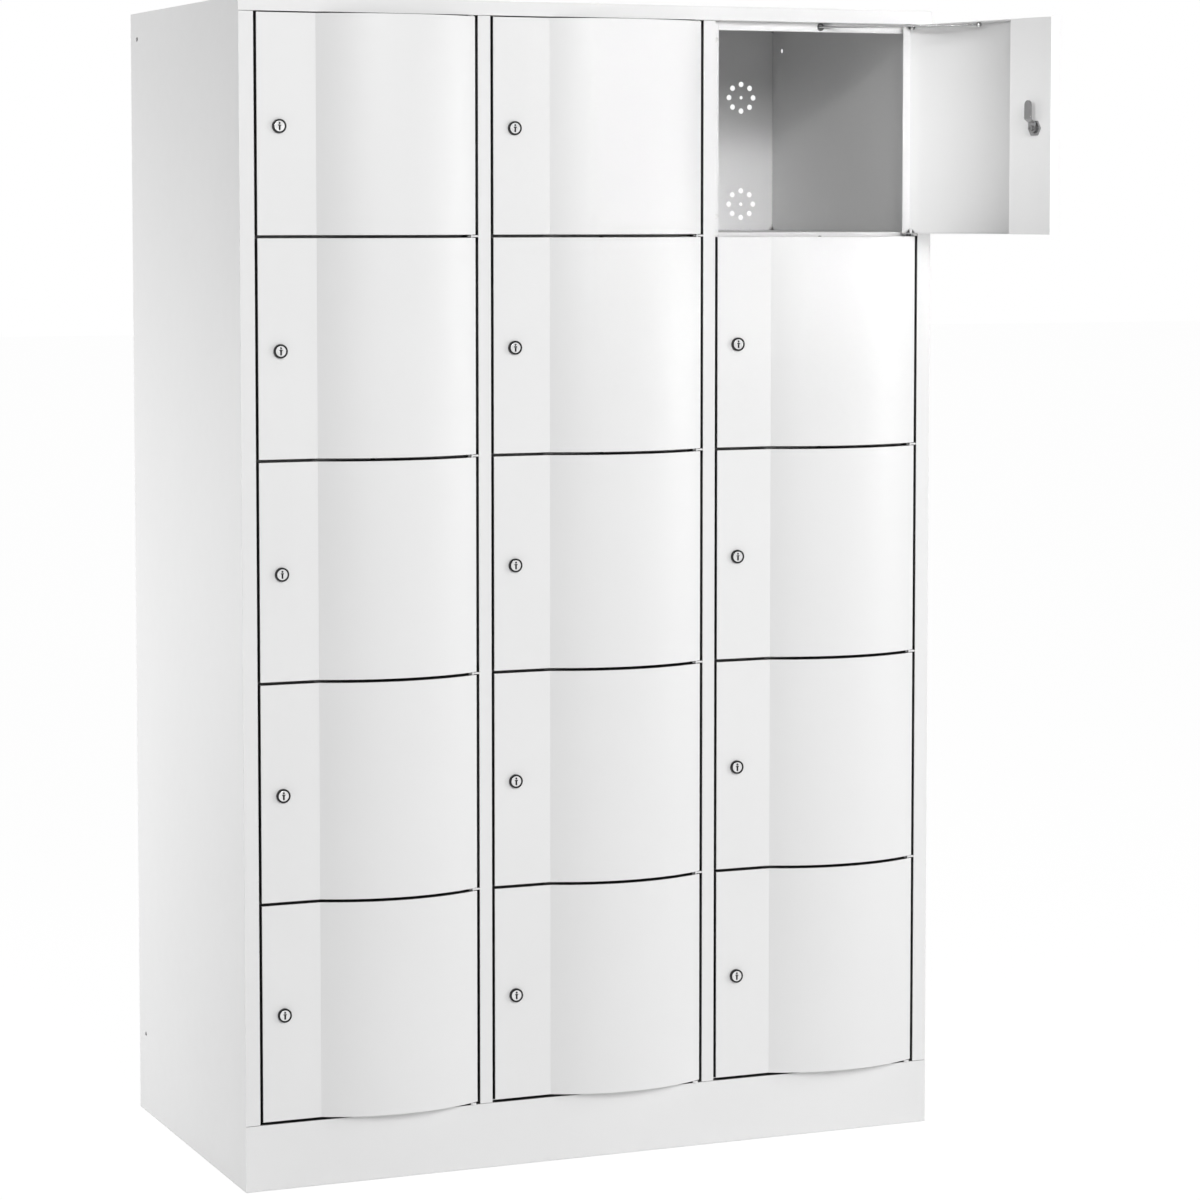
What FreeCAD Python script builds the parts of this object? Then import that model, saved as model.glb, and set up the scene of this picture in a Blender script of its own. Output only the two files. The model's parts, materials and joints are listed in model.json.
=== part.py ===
import FreeCAD, Part
import os
import Sketcher

# Locker cabinet: three columns of five compartments in folded sheet steel, each with a bowed door, a cam
# lock and a sliding stay rod.  Millimetres.  The origin is on the floor at the centre of the footprint,
# +X runs to the right seen from the front, +Y runs from the front to the back and +Z is up.

COLUMNS = ("left", "middle", "right")
ROWS = (1, 2, 3, 4, 5)
OPEN_DOOR = ("right", 1)

X_AXIS = FreeCAD.Vector(1, 0, 0)
Y_AXIS = FreeCAD.Vector(0, 1, 0)
Z_AXIS = FreeCAD.Vector(0, 0, 1)

SIZES = {
    # carcass
    "width": 1250,
    "depth": 640,
    "height": 1950,
    "gauge": 1,
    "outer_stile": 25,
    "mid_stile": 22,
    "fascia": 23.5,
    "plinth": 109.5,
    "recess": 20,
    "landing": 15,
    "landing_lip": 10,
    "tray_flange": 15,
    "seam": 0.6,
    # doors
    "side_gap": 5,
    "top_gap": 2,
    "row_gap": 5,
    "sill_rise": 2.5,
    "lintel_drop": 13.2,
    "lock_strip": 100,
    "bow": 33,
    "door_seat": 4,
    "open_angle": 103,
    # hinges
    "hinge_inset": 7,
    "hinge_setback": 2,
    "hinge_pin": 5,
    "hinge_reach": 7,
    "hinge_clearance": 0.3,
    "lug_clearance": 1,
    "lug_margin": 4,
    # locks
    "lock_inset": 37,
    "lock_drop": 3.5,
    "bezel": 23,
    "bezel_height": 5,
    "plug_face": 17.4,
    "barrel": 18,
    "plug": 13,
    "turning_clearance": 0.4,
    "nut_flats": 24,
    "nut_height": 4,
    "cam_length": 46,
    "cam_width": 16,
    "cam_gauge": 2.5,
    "cam_lip_clearance": 1.2,
    "key_slot": 3,
    "key_drop": 6.5,
    "key_rise": 2.5,
    "key_bar": 5.4,
    "key_dot": 3.4,
    "key_depth": 1.5,
    # door stays
    "stay_radius": 168,
    "stay_forward": 5,
    "stay_drop": 5,
    "rod": 4,
    "rod_tail": 12,
    "eye": 9.6,
    "eye_height": 3,
    "rivet": 4,
    "rivet_clearance": 0.3,
    "bush_body": 11,
    "bush_bore": 9.4,
    "bush_rim": 12.4,
    "bush_rim_height": 0.7,
    # buffers
    "buffer": 8,
    "buffer_clearance": 0.3,
    "buffer_end": 30,
    # vents and holes
    "vent_ring": 50,
    "vent_hole": 10,
    "vent_centre": 6.5,
    "vent_inset": 42,
    "vent_low": 49,
    "vent_high": 249,
    "link_hole": 8,
    "link_back": 40,
    "link_high": 45,
    "link_low": 140,
    # feet
    "foot": 45,
    "foot_height": 12,
    "foot_stud": 12,
    "foot_inset": 60,
    "foot_bracket": 80,
    "bracket_gauge": 3,
    "bracket_level": 50,
}

# Sizes that follow from the ones above, in the order in which they are worked out.
DERIVED = {
    "front": "-Sizes.depth / 2",
    "landing_y": "-Sizes.depth / 2 + Sizes.recess",
    "lip_y": "-Sizes.depth / 2 + Sizes.recess + Sizes.landing_lip",
    "back_y": "Sizes.depth / 2 - Sizes.gauge",
    "head": "Sizes.height - Sizes.fascia",
    "bay": "(Sizes.width - 2 * Sizes.outer_stile - 2 * Sizes.mid_stile) / 3",
    "column_pitch": "bay + Sizes.mid_stile",
    "first_bay": "-Sizes.width / 2 + Sizes.outer_stile",
    "door_width": "bay - 2 * Sizes.side_gap",
    "door_height": "(head - Sizes.plinth - Sizes.top_gap - 5 * Sizes.row_gap) / 5",
    "row_pitch": "door_height + Sizes.row_gap",
    "first_door": "head - Sizes.top_gap - door_height",
    "rail": "Sizes.sill_rise + Sizes.row_gap + Sizes.lintel_drop",
    "door_edge": "Sizes.recess - Sizes.door_seat",
    "bow_radius": "((door_width - Sizes.lock_strip) ^ 2 / 4 + Sizes.bow ^ 2) / (2 * Sizes.bow)",
    "door_left": "Sizes.hinge_inset - door_width",
    "lock_x": "door_left + Sizes.lock_inset",
    "lock_z": "door_height / 2 - Sizes.lock_drop",
    "cam_back": "Sizes.recess + Sizes.landing_lip + Sizes.cam_lip_clearance - Sizes.hinge_setback",
    "cam_base": "door_edge + Sizes.nut_height + 2 - Sizes.hinge_setback",
    "bush_y": "Sizes.recess + Sizes.gauge / 2 - Sizes.hinge_setback",
    "bush_x": "-sqrt(Sizes.stay_radius ^ 2 - bush_y ^ 2)",
    "stay_x": "-sqrt(Sizes.stay_radius ^ 2 - Sizes.stay_forward ^ 2)",
    "stay_turn": "atan((bush_x - stay_x) / (bush_y + Sizes.stay_forward)) / 1deg",
    "stay_spread": "2 * asin(sqrt((bush_x - stay_x) ^ 2 + (bush_y + Sizes.stay_forward) ^ 2)"
                   " / (2 * Sizes.stay_radius)) / 1deg",
    "rod_length": "2 * Sizes.stay_radius * sin((stay_spread + Sizes.open_angle) / 2) + Sizes.rod_tail",
}

doc = FreeCAD.newDocument("LockerCabinet")


def fill_sheet(label, cells):
    """A spreadsheet with one aliased cell for each entry: the name beside its number or formula."""
    sheet = doc.addObject("Spreadsheet::Sheet", label)
    for row, (alias, value) in enumerate(cells.items(), start=1):
        sheet.set("A%d" % row, alias)
        sheet.set("B%d" % row, str(value) if isinstance(value, (int, float)) else "=" + value)
        sheet.setAlias("B%d" % row, alias)
    doc.recompute()
    return sheet


fill_sheet("Sizes", SIZES)
fill_sheet("Derived", DERIVED)


# ---------------------------------------------------------------- helpers

def bind(item, **expressions):
    """Bind properties to the sheets.  x, y, z and turn stand for the parts of the Placement."""
    place = {
        "x": "Placement.Base.x",
        "y": "Placement.Base.y",
        "z": "Placement.Base.z",
        "turn": "Placement.Rotation.Angle",
    }
    for name, expression in expressions.items():
        item.setExpression(place.get(name, name), str(expression))
    return item


def box(name, x, y, z, length, width, height):
    """A block from its lowest corner."""
    item = doc.addObject("Part::Box", name)
    return bind(item, x=x, y=y, z=z, Length=length, Width=width, Height=height)


def cylinder(name, diameter, height, x=0, y=0, z=0, axis=Z_AXIS):
    """A cylinder that stands on the point (x, y, z) and grows along the axis."""
    item = doc.addObject("Part::Cylinder", name)
    item.Placement.Rotation = FreeCAD.Rotation(Z_AXIS, axis)
    return bind(item, Radius="(%s) / 2" % diameter, Height=height, x=x, y=y, z=z)


def fuse(name, items):
    """One solid from several touching ones."""
    item = doc.addObject("Part::MultiFuse", name)
    item.Shapes = items
    item.Refine = True
    return item


def cut(name, base, tools):
    """The base without the tools."""
    tool = tools[0] if len(tools) == 1 else group(name + "_tools", tools)
    item = doc.addObject("Part::Cut", name)
    item.Base = base
    item.Tool = tool
    return item


def group(name, items):
    """Several solids that stay separate."""
    item = doc.addObject("Part::Compound", name)
    item.Links = items
    return item


def placed(name, items, turn=0, **expressions):
    """A copy of the items, moved to a place and turned about the vertical."""
    item = group(name, items)
    item.Placement.Rotation = FreeCAD.Rotation(Z_AXIS, 1)
    return bind(item, turn=turn, **expressions)


def outline(body, name, role, points, arc=None, lift=None):
    """A closed sketch on one of the body's own origin planes.

    points are pairs of expressions, each pinned to the origin.  arc is (index, radius, sag): the edge after
    that point bends outwards along the sketch's -Y by about sag, with the radius bound to its expression.
    """
    sketch = body.newObject("Sketcher::SketchObject", name)
    plane = [item for item in body.Origin.OriginFeatures if item.Role == role][0]
    sketch.AttachmentSupport = [(plane, "")]
    sketch.MapMode = "FlatFace"
    if lift is not None:
        sketch.setExpression("AttachmentOffset.Base.z", lift)
    for index, (x, y) in enumerate(points):
        pin = sketch.addGeometry(Part.Point(FreeCAD.Vector(index, index * index, 0)), True)
        across = sketch.addConstraint(Sketcher.Constraint("DistanceX", -1, 1, pin, 1, 1.0))
        sketch.setExpression("Constraints[%d]" % across, x)
        along = sketch.addConstraint(Sketcher.Constraint("DistanceY", -1, 1, pin, 1, 1.0))
        sketch.setExpression("Constraints[%d]" % along, y)
    doc.recompute()
    corners = [sketch.getPoint(pin, 1) for pin in range(len(points))]
    for pin, start in enumerate(corners):
        follower = (pin + 1) % len(corners)
        end = corners[follower]
        if arc is not None and arc[0] == pin:
            middle = (start + end) * 0.5 - Y_AXIS * arc[2]
            edge = sketch.addGeometry(Part.ArcOfCircle(start, middle, end), False)
            drawn = sketch.Geometry[edge].Radius
            radius = sketch.addConstraint(Sketcher.Constraint("Radius", edge, drawn))
            sketch.setExpression("Constraints[%d]" % radius, arc[1])
        else:
            edge = sketch.addGeometry(Part.LineSegment(start, end), False)
        first = 1 if sketch.getPoint(edge, 1).distanceToPoint(start) < 1e-6 else 2
        sketch.addConstraint(Sketcher.Constraint("Coincident", edge, first, pin, 1))
        sketch.addConstraint(Sketcher.Constraint("Coincident", edge, 3 - first, follower, 1))
    return sketch


def pad(body, name, sketch, length):
    """The sketch pulled along its normal."""
    feature = body.newObject("PartDesign::Pad", name)
    feature.Profile = sketch
    feature.setExpression("Length", length)
    return feature


def pocket(body, name, sketch, length):
    """The sketch cut away along its normal, upwards.  The cut must take material off."""
    before = body.Shape.Volume
    feature = body.newObject("PartDesign::Pocket", name)
    feature.Profile = sketch
    feature.Reversed = True
    feature.setExpression("Length", length)
    doc.recompute()
    if body.Shape.Volume >= before:
        raise RuntimeError(name + " cuts nothing")
    return feature


def new_body(name):
    return doc.addObject("PartDesign::Body", name)


def column_x(column):
    """The left edge of a column's bay."""
    return "(Derived.first_bay + %d * Derived.column_pitch)" % COLUMNS.index(column)


def door_z(row):
    """The lower edge of a row's doors."""
    return "(Derived.first_door - %d * Derived.row_pitch)" % (row - 1)


def hinge_x(column):
    return "(%s + Derived.bay - Sizes.side_gap - Sizes.hinge_inset)" % column_x(column)


HINGE_Y = "(Derived.front + Sizes.hinge_setback)"


# ---------------------------------------------------------------- door, about its hinge axis

# The pan: a flat strip at the lock side, then a bowed field that ends at the hinge side.
LEFT = "Derived.door_left"
RIGHT = "Sizes.hinge_inset"
FACE = "-Sizes.hinge_setback"
EDGE = "Derived.door_edge - Sizes.hinge_setback"
CREASE = "Derived.door_left + Sizes.lock_strip"

pan = new_body("pan_blank")
pan_outline = outline(
    pan, "pan_outline", "XY_Plane",
    [(LEFT, FACE), (CREASE, FACE), (RIGHT, FACE), (RIGHT, EDGE), (LEFT, EDGE)],
    arc=(1, "Derived.bow_radius", SIZES["bow"]))
pad(pan, "pan_block", pan_outline, "Derived.door_height")
doc.recompute()
# The inner face runs one gauge inside the outer one.  The bow keeps its centre, so its inner radius is one
# gauge less and it meets the flat strip and the hinge flange where that circle crosses them.
INNER_FACE = FACE + " + Sizes.gauge"
BOW_MIDDLE = "(Derived.door_left + Sizes.lock_strip + Sizes.hinge_inset) / 2"
BOW_CENTRE = "(Derived.bow_radius - Sizes.bow - Sizes.hinge_setback)"
INNER_CHORD = "sqrt((Derived.bow_radius - Sizes.gauge) ^ 2 - (%s - (%s)) ^ 2)" % (BOW_CENTRE, INNER_FACE)
HINGE_FLANGE = "(Sizes.hinge_inset - Sizes.gauge)"
HINGE_RISE = "(%s - sqrt((Derived.bow_radius - Sizes.gauge) ^ 2 - (%s - %s) ^ 2))" % (
    BOW_CENTRE, HINGE_FLANGE, BOW_MIDDLE)
pan_inside = outline(
    pan, "pan_inside", "XY_Plane",
    [(LEFT + " + Sizes.gauge", INNER_FACE), (BOW_MIDDLE + " - " + INNER_CHORD, INNER_FACE),
     (HINGE_FLANGE, HINGE_RISE), (HINGE_FLANGE, EDGE + " + 1"), (LEFT + " + Sizes.gauge", EDGE + " + 1")],
    arc=(1, "Derived.bow_radius - Sizes.gauge", SIZES["bow"]),
    lift="Sizes.gauge")
pocket(pan, "pan_hollow", pan_inside, "Derived.door_height - 2 * Sizes.gauge")

PIN_HOLE = "Sizes.hinge_pin + 2 * Sizes.hinge_clearance"
BARREL_HOLE = "Sizes.barrel + Sizes.turning_clearance"
pin_bores = cylinder("pin_bores", PIN_HOLE, "Derived.door_height + 2", z="-1")
lock_bore = cylinder(
    "lock_bore", BARREL_HOLE, "Derived.door_edge + 2",
    x="Derived.lock_x", y=FACE + " - 1", z="Derived.lock_z", axis=Y_AXIS)
door_pan = cut("door_pan", pan, [pin_bores, lock_bore])

# The cover: closes the back of the lock strip and turns in to the skin at the crease.
cover_back = box(
    "cover_back", LEFT + " + Sizes.gauge", EDGE + " - Sizes.gauge", "Sizes.gauge",
    "Sizes.lock_strip - Sizes.gauge", "Sizes.gauge", "Derived.door_height - 2 * Sizes.gauge")
cover_side = box(
    "cover_side", CREASE + " - Sizes.gauge", INNER_FACE, "Sizes.gauge",
    "Sizes.gauge", "Derived.door_edge - Sizes.gauge", "Derived.door_height - 2 * Sizes.gauge")
door_cover = cut("door_cover", fuse("cover_blank", [cover_back, cover_side]), [lock_bore])

# The lock housing: a bezel outside, a barrel through the strip, and a hexagon nut inside.
LOCK_AT = {"x": "Derived.lock_x", "z": "Derived.lock_z", "axis": Y_AXIS}
bezel_ring = cylinder("bezel_ring", "Sizes.bezel", "Sizes.bezel_height", y=FACE + " - Sizes.bezel_height", **LOCK_AT)
barrel = cylinder("barrel", "Sizes.barrel", "Derived.door_edge + Sizes.nut_height + 1", y=FACE, **LOCK_AT)
face_seat = cylinder(
    "face_seat", "Sizes.plug_face + 2 * Sizes.turning_clearance", "Sizes.bezel_height",
    y=FACE + " - Sizes.bezel_height - 1", **LOCK_AT)
plug_bore = cylinder(
    "plug_bore", "Sizes.plug + 2 * Sizes.turning_clearance", "Derived.door_edge + Sizes.bezel_height + 20",
    y=FACE + " - Sizes.bezel_height - 1", **LOCK_AT)
lock_housing = cut("lock_housing", fuse("housing_blank", [bezel_ring, barrel]), [face_seat, plug_bore])
nut_blank = doc.addObject("Part::Prism", "nut_blank")
nut_blank.Polygon = 6
nut_blank.Placement.Rotation = FreeCAD.Rotation(Z_AXIS, Y_AXIS)
bind(nut_blank, Circumradius="Sizes.nut_flats / sqrt(3)", Height="Sizes.nut_height",
     x="Derived.lock_x", y=EDGE, z="Derived.lock_z")
lock_nut = cut("lock_nut", nut_blank, [barrel])

# The rivet that the stay turns on, under the top flange.
RIVET_TOP = "Derived.door_height - Sizes.gauge"
EYE_TOP = "Derived.door_height - Sizes.stay_drop + Sizes.eye_height / 2"
STAY_AT = {"x": "Derived.stay_x", "y": "-Sizes.stay_forward"}
rivet_shank = cylinder(
    "rivet_shank", "Sizes.rivet", "Sizes.stay_drop + Sizes.eye_height / 2 - Sizes.gauge + 1.5",
    z=EYE_TOP + " - Sizes.eye_height - 1.5", **STAY_AT)
rivet_collar = cylinder(
    "rivet_collar", "Sizes.rivet + 3", RIVET_TOP + " - (" + EYE_TOP + ") - Sizes.rivet_clearance",
    z=EYE_TOP + " + Sizes.rivet_clearance", **STAY_AT)
rivet_head = cylinder(
    "rivet_head", "Sizes.rivet + 3", "1.5 - Sizes.rivet_clearance",
    z=EYE_TOP + " - Sizes.eye_height - 1.5", **STAY_AT)
stay_rivet = fuse("stay_rivet", [rivet_shank, rivet_collar, rivet_head])

DOOR = [door_pan, door_cover, lock_housing, lock_nut, stay_rivet]

# ---------------------------------------------------------------- lock cam, about the lock's axis

# y = 0 is where the cam is screwed on, behind the end of the barrel.  The key's face lies just inside the bezel.
PLUG_FACE = "-Derived.cam_base - Sizes.hinge_setback - Sizes.bezel_height + Sizes.turning_clearance"
plug_head = cylinder(
    "plug_head", "Sizes.plug_face", "Sizes.bezel_height - 1 - 2 * Sizes.turning_clearance",
    y=PLUG_FACE, axis=Y_AXIS)
plug_shaft = cylinder(
    "plug_shaft", "Sizes.plug", "Derived.cam_base + Sizes.hinge_setback + 1",
    y="-Derived.cam_base - Sizes.hinge_setback - 1", axis=Y_AXIS)
KEY_MOUTH = PLUG_FACE + " - 1"
key_stem = box(
    "key_stem", "-Sizes.key_slot / 2", KEY_MOUTH, "-Sizes.key_drop",
    "Sizes.key_slot", "Sizes.key_depth + 1", "Sizes.key_drop + Sizes.key_rise")
key_bar = box(
    "key_bar_cut", "-Sizes.key_bar / 2", KEY_MOUTH, "Sizes.key_rise - 1.8",
    "Sizes.key_bar", "Sizes.key_depth + 1", "1.8")
key_dot = cylinder(
    "key_dot_cut", "Sizes.key_dot", "Sizes.key_depth + 1",
    y=KEY_MOUTH, z="Sizes.key_rise + 0.7 + Sizes.key_dot / 2", axis=Y_AXIS)
lock_plug = cut("lock_plug", fuse("plug_blank", [plug_head, plug_shaft]), [key_stem, key_bar, key_dot])

# The cam: flat round the screw, cranked back so that its arm passes behind the landing's lip.
CRANK_START = "Sizes.cam_width / 2 + 1"
CRANK_END = "Sizes.cam_width / 2 + 7"
CRANK = "(Derived.cam_back - Derived.cam_base)"
cam_side = new_body("cam_side")
cam_profile = outline(
    cam_side, "cam_profile", "YZ_Plane",
    [("0", "-Sizes.cam_width / 2"), ("Sizes.cam_gauge", "-Sizes.cam_width / 2"),
     ("Sizes.cam_gauge", CRANK_START), ("Sizes.cam_gauge + " + CRANK, CRANK_END),
     ("Sizes.cam_gauge + " + CRANK, "Sizes.cam_length"), (CRANK, "Sizes.cam_length"),
     (CRANK, CRANK_END), ("0", CRANK_START)])
cam_strip = pad(cam_side, "cam_strip", cam_profile, "Sizes.cam_width")
cam_strip.SideType = "Symmetric"
doc.recompute()
# Both ends of the strip are rounded by a plan shape as long as the cam.
CAM_REACH = "Derived.cam_back + Sizes.cam_gauge + 4"
cam_plan = fuse("cam_plan", [
    box("cam_plan_strip", "-Sizes.cam_width / 2", "-1", "0",
        "Sizes.cam_width", CAM_REACH, "Sizes.cam_length - Sizes.cam_width / 2"),
    cylinder("cam_plan_foot", "Sizes.cam_width", CAM_REACH, y="-1", axis=Y_AXIS),
    cylinder("cam_plan_tip", "Sizes.cam_width", CAM_REACH, y="-1",
             z="Sizes.cam_length - Sizes.cam_width / 2", axis=Y_AXIS),
])
lock_cam = doc.addObject("Part::Common", "cam_plate")
lock_cam.Base = cam_side
lock_cam.Tool = cam_plan
screw_head = cylinder("screw_head", "9", "3", y="Sizes.cam_gauge", axis=Y_AXIS)
cross_across = box("cross_across", "-2.75", "Sizes.cam_gauge + 1.8", "-0.6", "5.5", "2", "1.2")
cross_along = box("cross_along", "-0.6", "Sizes.cam_gauge + 1.8", "-2.75", "1.2", "2", "5.5")
cam_screw = cut("cam_screw", screw_head, [cross_across, cross_along])

LOCK = [lock_plug, lock_cam, cam_screw]

# ---------------------------------------------------------------- stay rod, about its rivet

# The rod leaves the eye along +Y.  Its end stop can't pass the bush.
rod_eye = cylinder("rod_eye", "Sizes.eye", "Sizes.eye_height", z="-Sizes.eye_height / 2")
rod_shaft = cylinder("rod_shaft", "Sizes.rod", "Derived.rod_length - Sizes.eye / 2 + 1",
                     y="Sizes.eye / 2 - 1", axis=Y_AXIS)
rod_stop = cylinder("rod_stop", "Sizes.rod + 3.5", "3", y="Derived.rod_length - 3", axis=Y_AXIS)
eye_bore = cylinder("eye_bore", "Sizes.rivet + 2 * Sizes.rivet_clearance", "Sizes.eye_height + 2",
                    z="-Sizes.eye_height / 2 - 1")
stay_rod = cut("stay_rod", fuse("rod_blank", [rod_eye, rod_shaft, rod_stop]), [eye_bore])

# ---------------------------------------------------------------- the doors, locks and stays in place

nodes = []


def turn_of(column, row):
    """The angle at which a door stands."""
    return "Sizes.open_angle" if (column, row) == OPEN_DOOR else "0"


for column in COLUMNS:
    for row in ROWS:
        angle = turn_of(column, row)
        tag = "%s_%d" % (column, row)
        door = placed("door_" + tag, DOOR, turn=angle, x=hinge_x(column), y=HINGE_Y, z=door_z(row))
        lock = placed(
            "lock_cam_" + tag, LOCK, turn=angle,
            x="%s + Derived.lock_x * cos(%s) - Derived.cam_base * sin(%s)" % (hinge_x(column), angle, angle),
            y="%s + Derived.lock_x * sin(%s) + Derived.cam_base * cos(%s)" % (HINGE_Y, angle, angle),
            z="%s + Derived.lock_z" % door_z(row))
        # The rivet and the bush lie on one circle about the hinge, so the rod turns half as far as the door.
        stay = placed(
            "stay_rod_" + tag, [stay_rod], turn="%s / 2 - Derived.stay_turn" % angle,
            x="%s + Derived.stay_x * cos(%s) + Sizes.stay_forward * sin(%s)" % (hinge_x(column), angle, angle),
            y="%s + Derived.stay_x * sin(%s) - Sizes.stay_forward * cos(%s)" % (HINGE_Y, angle, angle),
            z="%s + Derived.door_height - Sizes.stay_drop" % door_z(row))
        nodes += [door, lock, stay]

# ---------------------------------------------------------------- side panels

# One sheet: the wall, the stile across the front, the return to the landing, the landing and its lip.
WALL = "Sizes.gauge"
STILE_FOOT = "Sizes.plinth + Sizes.seam"
STILE_HEIGHT = "Derived.head - Sizes.plinth - 2 * Sizes.seam"
LANDING_HEIGHT = "Derived.head - Sizes.plinth"


def side_panel(name, side):
    """side is -1 for the left panel and 1 for the right one."""
    edge = "(%d * Sizes.width / 2)" % side
    inward = "(%d)" % -side
    body = new_body(name + "_fold")
    fold = outline(body, name + "_profile", "XY_Plane", [
        (edge, "Derived.front"),
        (edge + " + %s * Sizes.outer_stile" % inward, "Derived.front"),
        (edge + " + %s * Sizes.outer_stile" % inward, "Derived.landing_y"),
        (edge + " + %s * (Sizes.outer_stile + Sizes.landing)" % inward, "Derived.landing_y"),
        (edge + " + %s * (Sizes.outer_stile + Sizes.landing)" % inward, "Derived.lip_y"),
        (edge + " + %s * (Sizes.outer_stile + Sizes.landing - Sizes.gauge)" % inward, "Derived.lip_y"),
        (edge + " + %s * (Sizes.outer_stile + Sizes.landing - Sizes.gauge)" % inward,
         "Derived.landing_y + Sizes.gauge"),
        (edge + " + %s * (Sizes.outer_stile - Sizes.gauge)" % inward, "Derived.landing_y + Sizes.gauge"),
        (edge + " + %s * (Sizes.outer_stile - Sizes.gauge)" % inward, "Derived.front + Sizes.gauge"),
        (edge, "Derived.front + Sizes.gauge"),
    ], lift=STILE_FOOT)
    pad(body, name + "_stile", fold, STILE_HEIGHT)
    wall_x = edge if side < 0 else edge + " - Sizes.gauge"
    wall = box(name + "_wall", wall_x, "Derived.front + Sizes.gauge", "0",
               WALL, "Sizes.depth - Sizes.gauge", "Sizes.height")
    holes = [
        cylinder("%s_link_%s" % (name, level), "Sizes.link_hole", "Sizes.gauge + 2",
                 x=wall_x + " - 1", y="Sizes.depth / 2 - Sizes.link_back", z=height, axis=X_AXIS)
        for level, height in (("high", "Sizes.height - Sizes.link_high"), ("low", "Sizes.link_low"))
    ]
    doc.recompute()
    return cut(name, fuse(name + "_blank", [body, wall]), holes)


nodes.append(side_panel("side_panel_left", -1))
nodes.append(side_panel("side_panel_right", 1))

# ---------------------------------------------------------------- middle stiles and partitions

hat = new_body("hat_stile")
hat_profile = outline(hat, "hat_profile", "XY_Plane", [
    ("-Sizes.mid_stile / 2", "Derived.front"),
    ("Sizes.mid_stile / 2", "Derived.front"),
    ("Sizes.mid_stile / 2", "Derived.landing_y"),
    ("Sizes.mid_stile / 2 + Sizes.landing", "Derived.landing_y"),
    ("Sizes.mid_stile / 2 + Sizes.landing", "Derived.lip_y"),
    ("Sizes.mid_stile / 2 + Sizes.landing - Sizes.gauge", "Derived.lip_y"),
    ("Sizes.mid_stile / 2 + Sizes.landing - Sizes.gauge", "Derived.landing_y + Sizes.gauge"),
    ("Sizes.mid_stile / 2 - Sizes.gauge", "Derived.landing_y + Sizes.gauge"),
    ("Sizes.mid_stile / 2 - Sizes.gauge", "Derived.front + Sizes.gauge"),
    ("-Sizes.mid_stile / 2 + Sizes.gauge", "Derived.front + Sizes.gauge"),
    ("-Sizes.mid_stile / 2 + Sizes.gauge", "Derived.landing_y + Sizes.gauge"),
    ("-Sizes.mid_stile / 2 - Sizes.landing + Sizes.gauge", "Derived.landing_y + Sizes.gauge"),
    ("-Sizes.mid_stile / 2 - Sizes.landing + Sizes.gauge", "Derived.lip_y"),
    ("-Sizes.mid_stile / 2 - Sizes.landing", "Derived.lip_y"),
    ("-Sizes.mid_stile / 2 - Sizes.landing", "Derived.landing_y"),
    ("-Sizes.mid_stile / 2", "Derived.landing_y"),
], lift=STILE_FOOT)
pad(hat, "hat_length", hat_profile, STILE_HEIGHT)
doc.recompute()

BASE_RAIL_FOOT = "Sizes.plinth + Sizes.row_gap + Sizes.sill_rise - Derived.rail"
stiles = []
for number, side in ((1, "left"), (2, "right")):
    centre = "(Derived.first_bay + %d * Derived.column_pitch - Sizes.mid_stile / 2)" % number
    stiles.append(placed("mid_stile_" + side, [hat], x=centre))
    nodes.append(box(
        "partition_" + side, centre + " - Sizes.gauge / 2", "Derived.front + Sizes.gauge", BASE_RAIL_FOOT,
        "Sizes.gauge", "Derived.back_y - Derived.front - Sizes.gauge",
        "Sizes.height - Sizes.gauge - (%s)" % BASE_RAIL_FOOT))
nodes.append(group("mid_stiles", stiles))

# ---------------------------------------------------------------- compartment floors

# Each column has its own width between its walls.  A floor is one tray: its top, a front rail between the
# landings, and three flanges turned down.  The doors' bushes sit in the rails.
RAIL_FROM = "%s + Sizes.landing"
RAIL_WIDTH = "Derived.bay - 2 * Sizes.landing"
BUSH_Z = "Derived.rail - (Sizes.sill_rise + Sizes.row_gap + Sizes.stay_drop)"
WALLS = {
    "left": ("-Sizes.width / 2 + Sizes.gauge",
             "Derived.first_bay + Derived.column_pitch - Sizes.mid_stile / 2 - Sizes.gauge / 2"),
    "middle": ("Derived.first_bay + Derived.column_pitch - Sizes.mid_stile / 2 + Sizes.gauge / 2",
               "Derived.first_bay + 2 * Derived.column_pitch - Sizes.mid_stile / 2 - Sizes.gauge / 2"),
    "right": ("Derived.first_bay + 2 * Derived.column_pitch - Sizes.mid_stile / 2 + Sizes.gauge / 2",
              "Sizes.width / 2 - Sizes.gauge"),
}


def tray(column):
    """A floor with its top face at the rail's height above z = 0, without the hole for the bush."""
    left, right = WALLS[column]
    span = "(%s) - (%s)" % (right, left)
    deep = "Derived.back_y - Derived.lip_y"
    rail_x = RAIL_FROM % column_x(column)
    top = "Derived.rail - Sizes.gauge"
    flange_z = "Derived.rail - Sizes.tray_flange"
    name = "tray_" + column
    return fuse(name, [
        box(name + "_top", left, "Derived.lip_y", top, span, deep, "Sizes.gauge"),
        box(name + "_neck", rail_x, "Derived.landing_y", top,
            RAIL_WIDTH, "Sizes.landing_lip", "Sizes.gauge"),
        box(name + "_rail", rail_x, "Derived.landing_y", "0", RAIL_WIDTH, "Sizes.gauge", "Derived.rail"),
        box(name + "_rear", left, "Derived.back_y - Sizes.gauge", flange_z,
            span, "Sizes.gauge", "Sizes.tray_flange"),
        box(name + "_side_left", left, "Derived.lip_y", flange_z,
            "Sizes.gauge", deep, "Sizes.tray_flange"),
        box(name + "_side_right", right + " - Sizes.gauge", "Derived.lip_y", flange_z,
            "Sizes.gauge", deep, "Sizes.tray_flange"),
    ])


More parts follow.
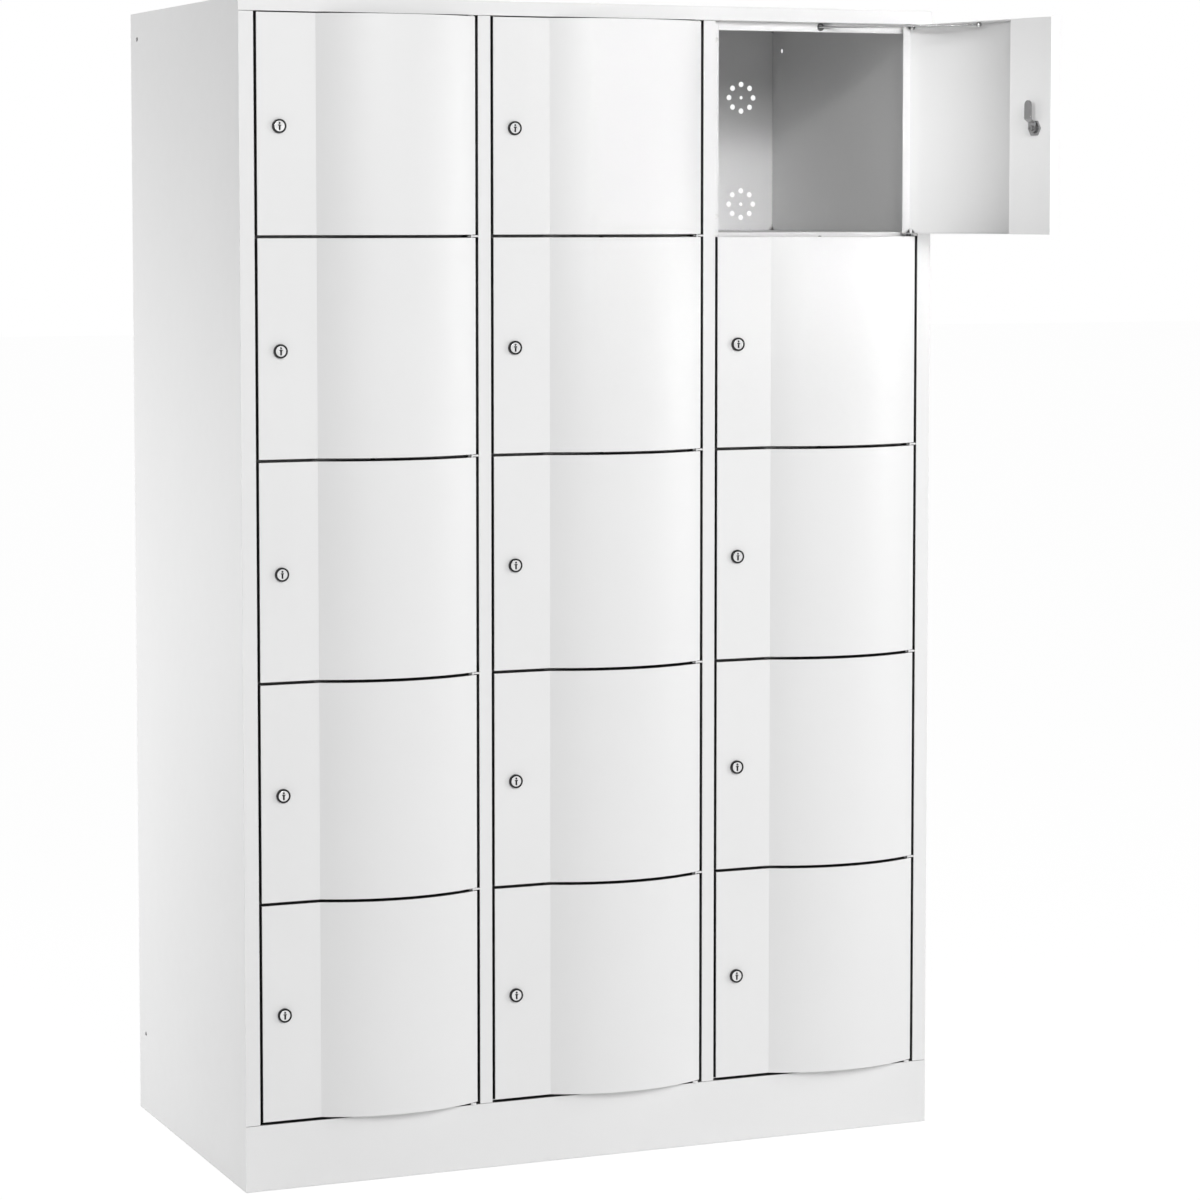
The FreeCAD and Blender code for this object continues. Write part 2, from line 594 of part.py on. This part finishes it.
def bush_hole(name, column, z):
    return cylinder(
        name, "Sizes.bush_body", "Sizes.gauge + 2",
        x="%s + Derived.bush_x" % hinge_x(column), y="Derived.landing_y - 1", z=z, axis=Y_AXIS)


for column in COLUMNS:
    blank = tray(column)
    bored = cut("bored_tray_" + column, blank, [bush_hole("tray_hole_" + column, column, BUSH_Z)])
    floors = []
    for row in ROWS:
        source = blank if row == ROWS[-1] else bored
        floors.append(placed(
            "floor_%s_%d" % (column, row), [source],
            z="%s + Sizes.sill_rise - Derived.rail" % door_z(row)))
    nodes.append(group("floors_" + column, floors))

# ---------------------------------------------------------------- roof, plinth and back

def partition_slots(name, z):
    """Cutters where the partitions pass through a return."""
    return [
        box("%s_slot_%d" % (name, number),
            "Derived.first_bay + %d * Derived.column_pitch - (Sizes.mid_stile + Sizes.gauge) / 2" % number,
            "Derived.front + Sizes.gauge", z, "Sizes.gauge", "Sizes.recess + 5", "Sizes.gauge + 2")
        for number in (1, 2)
    ]


roof_parts = [
    box("roof_sheet", "-Sizes.width / 2 + Sizes.gauge", "Derived.front", "Sizes.height - Sizes.gauge",
        "Sizes.width - 2 * Sizes.gauge", "Sizes.depth", "Sizes.gauge"),
    box("roof_fascia", "-Sizes.width / 2", "Derived.front", "Derived.head",
        "Sizes.width", "Sizes.gauge", "Sizes.fascia"),
    box("roof_return", "-Sizes.width / 2 + Sizes.gauge", "Derived.front", "Derived.head",
        "Sizes.width - 2 * Sizes.gauge", "Sizes.recess + Sizes.gauge", "Sizes.gauge"),
]
LINTEL_FOOT = "Derived.head - Sizes.top_gap - Sizes.lintel_drop"
for column in COLUMNS:
    rail_x = RAIL_FROM % column_x(column)
    roof_parts.append(box(
        "lintel_" + column, rail_x, "Derived.landing_y", LINTEL_FOOT,
        RAIL_WIDTH, "Sizes.gauge", "Sizes.top_gap + Sizes.lintel_drop + Sizes.gauge"))
    roof_parts.append(box(
        "lintel_lip_" + column, rail_x, "Derived.landing_y", LINTEL_FOOT,
        RAIL_WIDTH, "Sizes.landing_lip", "Sizes.gauge"))
lintel_holes = [
    bush_hole("lintel_hole_" + column, column, "%s + Derived.door_height - Sizes.stay_drop" % door_z(1))
    for column in COLUMNS
]
nodes.append(cut(
    "roof_panel", fuse("roof_blank", roof_parts), partition_slots("roof", "Derived.head - 1") + lintel_holes))

plinth_blank = fuse("plinth_blank", [
    box("plinth_front", "-Sizes.width / 2", "Derived.front", "0", "Sizes.width", "Sizes.gauge", "Sizes.plinth"),
    box("plinth_return", "-Sizes.width / 2 + Sizes.gauge", "Derived.front", "Sizes.plinth - Sizes.gauge",
        "Sizes.width - 2 * Sizes.gauge", "Sizes.recess", "Sizes.gauge"),
])
nodes.append(cut("plinth", plinth_blank, partition_slots("plinth", "Sizes.plinth - Sizes.gauge - 1")))

back_sheet = box(
    "back_sheet", "-Sizes.width / 2 + Sizes.gauge", "Derived.back_y", "0",
    "Sizes.width - 2 * Sizes.gauge", "Sizes.gauge", "Sizes.height - Sizes.gauge")
VENT_AT = {"y": "Derived.back_y - 1", "axis": Y_AXIS}
ring = [cylinder("vent_centre_cut", "Sizes.vent_centre", "Sizes.gauge + 2", x="0", z="0", **VENT_AT)]
for step in range(8):
    ring.append(cylinder(
        "vent_cut_%d" % step, "Sizes.vent_hole", "Sizes.gauge + 2",
        x="Sizes.vent_ring / 2 * cos(%d)" % (45 * step),
        z="Sizes.vent_ring / 2 * sin(%d)" % (45 * step), **VENT_AT))
vent_ring = group("vent_ring_cut", ring)
vents = []
for column in COLUMNS:
    for row in ROWS:
        for level in ("low", "high"):
            vents.append(placed(
                "vents_%s_%d_%s" % (column, row, level), [vent_ring],
                x="%s + Derived.bay - Sizes.vent_inset" % column_x(column),
                z="%s + Sizes.sill_rise + Sizes.vent_%s" % (door_z(row), level)))
nodes.append(cut("back_panel", back_sheet, vents))

# ---------------------------------------------------------------- hinges

# Between two doors a lug stands out of the landing with a pin both ways.  Over the top row and under the
# bottom row the pins stand on the fascia's and the plinth's returns.
LUG_HEIGHT = "Sizes.row_gap - 2 * Sizes.lug_clearance"
LUG_WIDTH = "Sizes.side_gap + Sizes.hinge_inset + Sizes.hinge_pin / 2 + Sizes.lug_margin"
hinge_lug = fuse("hinge_lug", [
    box("lug_plate", "Sizes.hinge_inset + Sizes.side_gap - (%s)" % LUG_WIDTH,
        "-Sizes.hinge_setback + Sizes.gauge", "-(%s) / 2" % LUG_HEIGHT,
        LUG_WIDTH, "Sizes.recess - Sizes.gauge", LUG_HEIGHT),
    cylinder("lug_pin", "Sizes.hinge_pin", "Sizes.row_gap + 2 * Sizes.hinge_reach",
             z="-Sizes.row_gap / 2 - Sizes.hinge_reach"),
])
head_pin = fuse("head_pin", [
    cylinder("head_stud", "Sizes.hinge_pin", "Sizes.top_gap + Sizes.hinge_reach",
             z="-Sizes.top_gap - Sizes.hinge_reach"),
    cylinder("head_collar", "Sizes.hinge_pin + 5", "Sizes.top_gap - Sizes.lug_clearance",
             z="-Sizes.top_gap + Sizes.lug_clearance"),
])
foot_pin = fuse("foot_pin", [
    cylinder("foot_stud_pin", "Sizes.hinge_pin", "Sizes.row_gap + Sizes.hinge_reach"),
    cylinder("foot_collar", "Sizes.hinge_pin + 5", "Sizes.row_gap - Sizes.lug_clearance"),
])
hinges = []
for column in COLUMNS:
    hinges.append(placed("hinge_%s_head" % column, [head_pin], x=hinge_x(column), y=HINGE_Y, z="Derived.head"))
    for row in ROWS[:-1]:
        hinges.append(placed(
            "hinge_%s_%d" % (column, row), [hinge_lug],
            x=hinge_x(column), y=HINGE_Y, z="%s - Sizes.row_gap / 2" % door_z(row)))
    hinges.append(placed("hinge_%s_foot" % column, [foot_pin], x=hinge_x(column), y=HINGE_Y, z="Sizes.plinth"))
nodes.append(group("hinge_lugs", hinges))

# ---------------------------------------------------------------- stay bushes and door buffers

# A bush clips into the sheet.  Its bore flares both ways, because the rod swings as the door opens.
BUSH_HALF = "(Sizes.gauge / 2 + Sizes.bush_rim_height)"
bush_solid = fuse("bush_solid", [
    cylinder("bush_front", "Sizes.bush_rim", "Sizes.bush_rim_height", y="-" + BUSH_HALF, axis=Y_AXIS),
    cylinder("bush_waist", "Sizes.bush_body", "2 * " + BUSH_HALF, y="-" + BUSH_HALF, axis=Y_AXIS),
    cylinder("bush_rear", "Sizes.bush_rim", "Sizes.bush_rim_height", y="Sizes.gauge / 2", axis=Y_AXIS),
])
flares = []
for side, start in (("front", "-" + BUSH_HALF), ("rear", "0")):
    flare = doc.addObject("Part::Cone", "bush_flare_" + side)
    flare.Placement.Rotation = FreeCAD.Rotation(Z_AXIS, Y_AXIS)
    wide, narrow = "(Sizes.bush_rim - 1.4) / 2", "Sizes.bush_bore / 2"
    bind(flare, y=start, Height=BUSH_HALF,
         Radius1=wide if side == "front" else narrow, Radius2=narrow if side == "front" else wide)
    flares.append(flare)
stay_bush = cut("stay_bush", bush_solid, flares)

buffer_pad = cylinder(
    "buffer_pad", "Sizes.buffer", "Sizes.door_seat - Sizes.buffer_clearance",
    x="(Sizes.landing + Sizes.side_gap) / 2",
    y="Derived.landing_y - (Sizes.door_seat - Sizes.buffer_clearance)", axis=Y_AXIS)

bushes = []
buffers = []
for column in COLUMNS:
    for row in ROWS:
        tag = "%s_%d" % (column, row)
        bushes.append(placed(
            "bush_" + tag, [stay_bush],
            x="%s + Derived.bush_x" % hinge_x(column), y="Derived.landing_y + Sizes.gauge / 2",
            z="%s + Derived.door_height - Sizes.stay_drop" % door_z(row)))
        buffers.append(placed(
            "buffer_low_" + tag, [buffer_pad], x=column_x(column), z="%s + Sizes.buffer_end" % door_z(row)))
        buffers.append(placed(
            "buffer_high_" + tag, [buffer_pad], x=column_x(column),
            z="%s + Derived.door_height - Sizes.buffer_end" % door_z(row)))
nodes.append(group("stay_bushes", bushes))
nodes.append(group("door_buffers", buffers))

# ---------------------------------------------------------------- levelling feet

# A bracket is fixed in each bottom corner, and a foot is screwed through it.
feet = []
for side_x, side_y in ((-1, -1), (1, -1), (-1, 1), (1, 1)):
    tag = "%s_%s" % ("left" if side_x < 0 else "right", "front" if side_y < 0 else "rear")
    wall = "%d * (Sizes.width / 2 - Sizes.gauge)" % side_x
    skirt = "%d * (Sizes.depth / 2 - Sizes.gauge)" % side_y
    x = "%s - %d * Sizes.foot_inset / 2" % (wall, side_x)
    y = "%s - %d * Sizes.foot_inset / 2" % (skirt, side_y)
    corner_x = wall if side_x < 0 else wall + " - Sizes.foot_bracket"
    corner_y = skirt if side_y < 0 else skirt + " - Sizes.foot_bracket"
    bracket = cut("bracket_" + tag, box(
        "bracket_blank_" + tag, corner_x, corner_y, "Sizes.bracket_level",
        "Sizes.foot_bracket", "Sizes.foot_bracket", "Sizes.bracket_gauge"), [
            cylinder("bracket_hole_" + tag, "Sizes.foot_stud", "Sizes.bracket_gauge + 2",
                     x=x, y=y, z="Sizes.bracket_level - 1")])
    foot = fuse("foot_" + tag, [
        cylinder("foot_pad_" + tag, "Sizes.foot", "Sizes.foot_height", x=x, y=y),
        cylinder("foot_stud_" + tag, "Sizes.foot_stud", "Sizes.bracket_level + Sizes.bracket_gauge + 10", x=x, y=y),
    ])
    feet += [bracket, foot]
nodes.append(group("levelling_feet", feet))

# ---------------------------------------------------------------- checks and files

doc.recompute()

for item in doc.Objects:
    if {"Invalid", "Error"} & set(item.State):
        raise RuntimeError("%s: %s" % (item.Label, item.State))
for node in nodes:
    if node.Shape.isNull() or not node.Shape.isValid() or not node.Shape.Solids:
        raise RuntimeError(node.Label + " has no valid shape")

os.makedirs("parts", exist_ok=True)
for node in nodes:
    node.Shape.exportStep("parts/%s.step" % node.Label)
print("wrote %d sub-parts" % len(nodes))
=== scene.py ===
import json
import math

import bmesh
import bpy
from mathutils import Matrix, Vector


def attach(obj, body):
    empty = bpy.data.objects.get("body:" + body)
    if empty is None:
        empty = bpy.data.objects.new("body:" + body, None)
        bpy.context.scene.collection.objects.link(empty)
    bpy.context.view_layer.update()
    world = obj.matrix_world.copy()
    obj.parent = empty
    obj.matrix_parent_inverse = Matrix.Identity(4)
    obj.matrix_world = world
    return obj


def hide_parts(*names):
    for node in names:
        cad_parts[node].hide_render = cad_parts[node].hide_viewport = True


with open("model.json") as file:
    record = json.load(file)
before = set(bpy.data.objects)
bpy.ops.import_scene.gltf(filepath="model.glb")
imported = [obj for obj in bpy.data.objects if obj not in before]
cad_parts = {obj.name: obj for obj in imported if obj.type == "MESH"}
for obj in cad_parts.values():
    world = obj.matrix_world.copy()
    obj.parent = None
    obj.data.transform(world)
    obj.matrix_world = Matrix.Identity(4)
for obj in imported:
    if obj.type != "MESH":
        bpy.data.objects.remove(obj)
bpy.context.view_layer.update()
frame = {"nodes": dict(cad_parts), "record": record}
bodies = frame["record"]["behaviour"]["bodies"]
joint_of = {joint["name"]: joint for joint in frame["record"]["behaviour"]["joints"]}

# Sizes in metres.
BEND_RADIUS = 0.0009        # outside radius of a folded sheet
BEND_ANGLE = 40             # degrees: sharper edges than this are folds
CREASE_ANGLE = 20           # degrees: sharper edges than this stay crisp in the shading
SMALL_PIECE = 0.045         # a loose piece of a door under this size is hardware
SEAM_SHADE_REACH = 0.014          # how far the painted shade of a narrow gap reaches
LOCK_EDGE = 0.0003          # broken edge of the lock's metal
KEYWAY = (0.0003, 0.0017)   # depths of the keyway's walls and bottom behind the face of the lock, which are painted black as painted shade
KEYWAY_REACH = 0.008
PLUG_HEAD = 0.004           # the chromed head of the plug is thinner than this
HOUSING_LENGTH = 0.020      # a lock housing is longer than this along its axis, its nut is not
BEZEL_HEIGHT = 0.0055       # the part of a lock housing that stands in front of its door

DOORS = sorted(name for name in frame["nodes"] if name.startswith("door_") and name != "door_buffers")
FOLDED = DOORS + [
    "side_panel_left", "side_panel_right", "mid_stiles", "roof_panel", "plinth",
    "floors_left", "floors_middle", "floors_right",
]


# ---------------------------------------------------------------- materials

def new_material(name):
    """An empty node material, its shader and its node tree."""
    material = bpy.data.materials.new(name)
    material.use_nodes = True
    tree = material.node_tree
    return material, tree.nodes["Principled BSDF"], tree


def object_noise(tree, scale, detail=2.0, stretch=(1, 1, 1)):
    """Noise fixed to the object, as a texture node."""
    place = tree.nodes.new("ShaderNodeTexCoord")
    mapping = tree.nodes.new("ShaderNodeMapping")
    mapping.inputs["Scale"].default_value = stretch
    noise = tree.nodes.new("ShaderNodeTexNoise")
    noise.inputs["Scale"].default_value = scale
    noise.inputs["Detail"].default_value = detail
    tree.links.new(place.outputs["Object"], mapping.inputs["Vector"])
    tree.links.new(mapping.outputs["Vector"], noise.inputs["Vector"])
    return noise


def ramp(tree, source, low, high, low_at=0.35, high_at=0.65):
    """Two colours or values over the middle of a noise."""
    node = tree.nodes.new("ShaderNodeValToRGB")
    node.color_ramp.elements[0].position = low_at
    node.color_ramp.elements[1].position = high_at
    node.color_ramp.elements[0].color = low
    node.color_ramp.elements[1].color = high
    tree.links.new(source, node.inputs["Fac"])
    return node.outputs["Color"]


def bump(tree, shader, height, strength, distance):
    node = tree.nodes.new("ShaderNodeBump")
    node.inputs["Strength"].default_value = strength
    node.inputs["Distance"].default_value = distance
    tree.links.new(height, node.inputs["Height"])
    tree.links.new(node.outputs["Normal"], shader.inputs["Normal"])


def grey(value, tint=0.0):
    return (value, value, value * (1 + tint), 1)


def painted_seam_shade(tree, colour):
    """Painted shade: darkens a colour to near black deep in the narrow gaps between pieces, where the shade falls.
    """
    gap = tree.nodes.new("ShaderNodeAmbientOcclusion")
    gap.samples = 12
    gap.inputs["Distance"].default_value = SEAM_SHADE_REACH
    # Painted shade: where ambient occlusion falls below about 0.4, the colour turns nearly black.
    shade = ramp(tree, gap.outputs["AO"], grey(0.006), grey(1.0), 0.36, 0.49)
    both = tree.nodes.new("ShaderNodeMix")
    both.data_type = "RGBA"
    both.blend_type = "MULTIPLY"
    both.inputs["Factor"].default_value = 1.0
    tree.links.new(colour, both.inputs["A"])
    tree.links.new(shade, both.inputs["B"])
    return both.outputs["Result"]


def powder_coat_with_seam_shade(name, shade):
    """Fine, slightly uneven powder coat: a low orange peel, and a little change in tone and gloss, with painted
    shade darkening its colour in the narrow gaps.
    """
    material, shader, tree = new_material(name)
    patches = object_noise(tree, 3.0, 3.0)
    tone = ramp(tree, patches.outputs["Fac"], grey(shade * 0.985), grey(shade))
    # The base colour carries painted shade in the narrow gaps.
    tree.links.new(painted_seam_shade(tree, tone), shader.inputs["Base Color"])
    gloss = object_noise(tree, 40.0, 2.0)
    tree.links.new(ramp(tree, gloss.outputs["Fac"], grey(0.36), grey(0.44)), shader.inputs["Roughness"])
    peel = object_noise(tree, 900.0, 1.0)
    bump(tree, shader, peel.outputs["Fac"], 0.08, 0.0002)
    shader.inputs["Specular IOR Level"].default_value = 0.45
    return material


def polished_metal(name, shade, rough, scratch=(1, 1, 1), depth=0.05):
    """Bright metal with fine marks drawn out along one direction."""
    material, shader, tree = new_material(name)
    shader.inputs["Metallic"].default_value = 1.0
    marks = object_noise(tree, 300.0, 4.0, scratch)
    tree.links.new(
        ramp(tree, marks.outputs["Fac"], grey(shade * 0.9), grey(shade, 0.01)), shader.inputs["Base Color"])
    tree.links.new(
        ramp(tree, marks.outputs["Fac"], grey(rough), grey(rough + 0.12)), shader.inputs["Roughness"])
    bump(tree, shader, marks.outputs["Fac"], depth, 0.0001)
    return material


def moulded(name, colour, rough, grain):
    """Matt plastic or rubber with a fine moulded grain."""
    material, shader, tree = new_material(name)
    tone = object_noise(tree, 60.0, 3.0)
    darker = tuple(channel * 0.8 for channel in colour[:3]) + (1,)
    tree.links.new(ramp(tree, tone.outputs["Fac"], darker, colour), shader.inputs["Base Color"])
    tree.links.new(
        ramp(tree, tone.outputs["Fac"], grey(rough - 0.06), grey(rough + 0.06)), shader.inputs["Roughness"])
    texture = object_noise(tree, grain, 2.0)
    bump(tree, shader, texture.outputs["Fac"], 0.2, 0.0002)
    return material


PAINT_AND_SEAM_SHADE = powder_coat_with_seam_shade("powder_coat_with_seam_shade", 0.80)
CHROME = polished_metal("polished_chrome", 0.80, 0.08)
STEEL = polished_metal("bright_steel", 0.34, 0.16, (1, 1, 6))
ZINC = polished_metal("bright_zinc", 0.40, 0.18, (1, 1, 12))
BLACK_AND_KEYWAY_SHADE = moulded("black_plastic_and_keyway_shade", (0.008, 0.008, 0.009, 1), 0.45, 500.0)
BLACK_AND_KEYWAY_SHADE.node_tree.nodes["Principled BSDF"].inputs["Specular IOR Level"].default_value = 0.25
RUBBER = moulded("pale_rubber", (0.78, 0.78, 0.77, 1), 0.7, 400.0)

LOOKS = {
    "carcass_paint": PAINT_AND_SEAM_SHADE,
    "door_paint": PAINT_AND_SEAM_SHADE,
    "hinge_paint": PAINT_AND_SEAM_SHADE,
    "lock_chrome": CHROME,
    "stay_steel": ZINC,
    "bush_plastic": BLACK_AND_KEYWAY_SHADE,
    "buffer_rubber": RUBBER,
    "foot_plastic": BLACK_AND_KEYWAY_SHADE,
}
for entry in frame["record"]["subparts"]:
    node = frame["nodes"][entry["node"]]
    node.data.materials.clear()
    node.data.materials.append(LOOKS[entry["material_slot"]])


# ---------------------------------------------------------------- folded sheet

def body_of_node(node):
    return next(body for body, members in bodies.items() if node in members)


def slot_of_node(node):
    return next(entry["material_slot"] for entry in frame["record"]["subparts"] if entry["node"] == node)


def reach(face, edge):
    """How far a face stretches away from one of its edges."""
    start = edge.verts[0].co
    along = (edge.verts[1].co - start).normalized()
    return max((vertex.co - start).cross(along).length for vertex in face.verts)


def loose_pieces(mesh):
    """The separate pieces of a bmesh, as lists of faces."""
    left = set(mesh.faces)
    while left:
        piece, queue = [], [left.pop()]
        while queue:
            face = queue.pop()
            piece.append(face)
            for edge in face.edges:
                for other in edge.link_faces:
                    if other in left:
                        left.discard(other)
                        queue.append(other)
        yield piece


def shade_smooth(mesh):
    """Smooth shading that stops at every edge sharper than a crease."""
    for face in mesh.faces:
        face.smooth = True
    for edge in mesh.edges:
        edge.smooth = len(edge.link_faces) == 2 and math.degrees(edge.calc_face_angle(0)) < CREASE_ANGLE


def flatten_normals(piece):
    """Large flat faces keep their own direction up to their borders, and the small ones between them turn."""
    normals = piece.modifiers.new("normals", "WEIGHTED_NORMAL")
    normals.keep_sharp = True
    normals.weight = 100


def colour_bezel(piece, outward):
    """Gives the ring that stands in front of the door the second hardware material."""
    depths = [outward.dot(vertex.co) for face in piece for vertex in face.verts]
    if max(depths) - min(depths) < HOUSING_LENGTH:
        return
    for face in piece:
        if outward.dot(face.calc_center_median()) > max(depths) - BEZEL_HEIGHT:
            face.material_index = 2


def folded_sheet(node):
    """A copy of a sheet-metal node whose outside folds are rounded, standing in for the sharp one."""
    mesh = bmesh.new()
    mesh.from_mesh(frame["nodes"][node].data)
    bmesh.ops.remove_doubles(mesh, verts=mesh.verts, dist=1e-6)
    bmesh.ops.dissolve_limit(mesh, angle_limit=math.radians(0.5), verts=mesh.verts, edges=mesh.edges)
    mesh.faces.ensure_lookup_table()
    for piece in list(loose_pieces(mesh)):
        points = [vertex.co for face in piece for vertex in face.verts]
        size = max(max(point[axis] for point in points) - min(point[axis] for point in points) for axis in range(3))
        hardware = node in DOORS and size < SMALL_PIECE
        for face in piece:
            face.material_index = 1 if hardware else 0
        if hardware:
            colour_bezel(piece, Vector(joint_of[node.replace("door_", "lock_turn_")]["axis"]))
    folds = []
    for edge in mesh.edges:
        if len(edge.link_faces) != 2 or edge.link_faces[0].material_index != 0:
            continue
        wide = all(reach(face, edge) > 4 * BEND_RADIUS for face in edge.link_faces)
        if wide and edge.is_convex and math.degrees(edge.calc_face_angle(0)) > BEND_ANGLE:
            folds.append(edge)
    bmesh.ops.bevel(
        mesh, geom=folds, offset=BEND_RADIUS, segments=5, profile=0.5, affect="EDGES", clamp_overlap=True)
    shade_smooth(mesh)
    copy = bpy.data.meshes.new(node + "_sheet")
    mesh.to_mesh(copy)
    mesh.free()
    copy.materials.append(LOOKS[slot_of_node(node)])
    if node in DOORS:
        copy.materials.append(STEEL)
        copy.materials.append(BLACK_AND_KEYWAY_SHADE)
    piece = bpy.data.objects.new(node + "_sheet", copy)
    bpy.context.scene.collection.objects.link(piece)
    flatten_normals(piece)
    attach(piece, body_of_node(node))
    slot_of_node(node)
    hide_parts(node)
    return piece


for node in FOLDED:
    folded_sheet(node)


def lock_copy(node):
    """A copy of a lock's plug and cam with broken edges, and a keyway painted black as painted shade."""
    mesh = bmesh.new()
    mesh.from_mesh(frame["nodes"][node].data)
    bmesh.ops.remove_doubles(mesh, verts=mesh.verts, dist=1e-6)
    bmesh.ops.dissolve_limit(mesh, angle_limit=math.radians(0.5), verts=mesh.verts, edges=mesh.edges)
    turn = joint_of[node.replace("lock_cam_", "lock_turn_")]
    outward, centre = Vector(turn["axis"]), Vector(turn["pos_m"])
    tip = max(outward.dot(vertex.co) for vertex in mesh.verts)
    for face in mesh.faces:
        middle = face.calc_center_median()
        deep = tip - outward.dot(middle)
        aside = (middle - centre).cross(outward).length
        # Painted shade: the keyway's walls and bottom get the black material, so the shallow keyway reads dark.
        if KEYWAY[0] < deep < KEYWAY[1] and aside < KEYWAY_REACH:
            face.material_index = 1
        elif deep > PLUG_HEAD:
            face.material_index = 2
    shade_smooth(mesh)
    copy = bpy.data.meshes.new(node + "_metal")
    mesh.to_mesh(copy)
    mesh.free()
    copy.materials.append(CHROME)
    copy.materials.append(BLACK_AND_KEYWAY_SHADE)
    copy.materials.append(STEEL)
    piece = bpy.data.objects.new(node + "_metal", copy)
    bpy.context.scene.collection.objects.link(piece)
    edges = piece.modifiers.new("edges", "BEVEL")
    edges.limit_method = "ANGLE"
    edges.angle_limit = math.radians(50)
    edges.width = LOCK_EDGE
    edges.segments = 2
    edges.harden_normals = True
    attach(piece, body_of_node(node))
    slot_of_node(node)
    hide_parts(node)


for node in sorted(name for name in frame["nodes"] if name.startswith("lock_cam_")):
    lock_copy(node)


# ---------------------------------------------------------------- stage, light and camera

ground = bpy.data.objects.new("floor", bpy.data.meshes.new("floor"))
bpy.context.scene.collection.objects.link(ground)
plane = bmesh.new()
bmesh.ops.create_grid(plane, x_segments=1, y_segments=1, size=40)
plane.to_mesh(ground.data)
plane.free()

def seen_directly(tree):
    """1 for a ray from the camera, off a mirror or through glass, and 0 for one that lights something."""
    path = tree.nodes.new("ShaderNodeLightPath")
    total = path.outputs["Is Camera Ray"]
    for kind in ("Is Glossy Ray", "Is Transmission Ray"):
        either = tree.nodes.new("ShaderNodeMath")
        either.operation = "MAXIMUM"
        tree.links.new(total, either.inputs[0])
        tree.links.new(path.outputs[kind], either.inputs[1])
        total = either.outputs[0]
    return total


white, floor_shader, floor_tree = new_material("white_floor")
floor_shader.inputs["Base Color"].default_value = (0.9, 0.9, 0.9, 1)
floor_shader.inputs["Roughness"].default_value = 0.9
floor_shader.inputs["Specular IOR Level"].default_value = 0.0
# Seen directly, the floor is lifted to the white of the background, and keeps a little of its shadow.
glow = floor_tree.nodes.new("ShaderNodeEmission")
glow.inputs["Strength"].default_value = 1.04
share = floor_tree.nodes.new("ShaderNodeMath")
share.operation = "MULTIPLY"
share.inputs[1].default_value = 0.93
mix = floor_tree.nodes.new("ShaderNodeMixShader")
floor_tree.links.new(seen_directly(floor_tree), share.inputs[0])
floor_tree.links.new(share.outputs[0], mix.inputs["Fac"])
floor_tree.links.new(floor_shader.outputs[0], mix.inputs[1])
floor_tree.links.new(glow.outputs[0], mix.inputs[2])
floor_tree.links.new(mix.outputs[0], floor_tree.nodes["Material Output"].inputs["Surface"])
ground.data.materials.append(white)

world = bpy.data.worlds.new("studio")
bpy.context.scene.world = world
world.use_nodes = True
sky = world.node_tree.nodes["Background"]
sky.inputs["Color"].default_value = (1, 1, 1, 1)
sky.inputs["Strength"].default_value = 0.30
backdrop = world.node_tree.nodes.new("ShaderNodeBackground")
backdrop.inputs["Color"].default_value = (1, 1, 1, 1)
either = world.node_tree.nodes.new("ShaderNodeMixShader")
world.node_tree.links.new(seen_directly(world.node_tree), either.inputs["Fac"])
world.node_tree.links.new(sky.outputs[0], either.inputs[1])
world.node_tree.links.new(backdrop.outputs[0], either.inputs[2])
world.node_tree.links.new(either.outputs[0], world.node_tree.nodes["World Output"].inputs["Surface"])


def softbox(name, place, target, width, height, power, spread=180):
    """A soft rectangular lamp aimed at a point; a grid on it narrows its spread, in degrees."""
    lamp = bpy.data.lights.new(name, "AREA")
    lamp.shape = "RECTANGLE"
    lamp.size, lamp.size_y = width, height
    lamp.energy = power
    lamp.spread = math.radians(spread)
    holder = bpy.data.objects.new(name, lamp)
    holder.location = place
    holder.rotation_euler = (Vector(target) - Vector(place)).to_track_quat("-Z", "Y").to_euler()
    bpy.context.scene.collection.objects.link(holder)
    return holder


MIDDLE = (0, 0, 1.0)
softbox("front", (-0.3, -7.7, 3.6), (0, 0, 0.6), 3.0, 2.0, 276)
softbox("key_right", (3.3, -2.3, 1.6), (0, 0, 0.8), 1.4, 1.8, 42)
softbox("left_back", (-2.5, 1.4, 0.9), (-0.62, 0, 0.95), 0.9, 0.9, 32)
softbox("inside", (-1.2, -4.5, 3.0), (0.45, -0.1, 1.76), 0.7, 0.7, 0.30, 8)
softbox("door_back", (-2.0, -2.9, 2.1), (0.64, -0.55, 1.75), 0.4, 0.4, 0.22, 9)

camera = bpy.data.objects.new("camera", bpy.data.cameras.new("camera"))
bpy.context.scene.collection.objects.link(camera)
bpy.context.scene.camera = camera
camera.location = (-2.383, -6.035, 1.608)
camera.rotation_euler = (math.radians(90 - 4.19), 0, math.radians(-22.66))
camera.data.sensor_width = 36
camera.data.lens = 110.8
camera.data.shift_y = -0.10
camera.data.clip_end = 100

bpy.context.scene.view_settings.view_transform = "Standard"
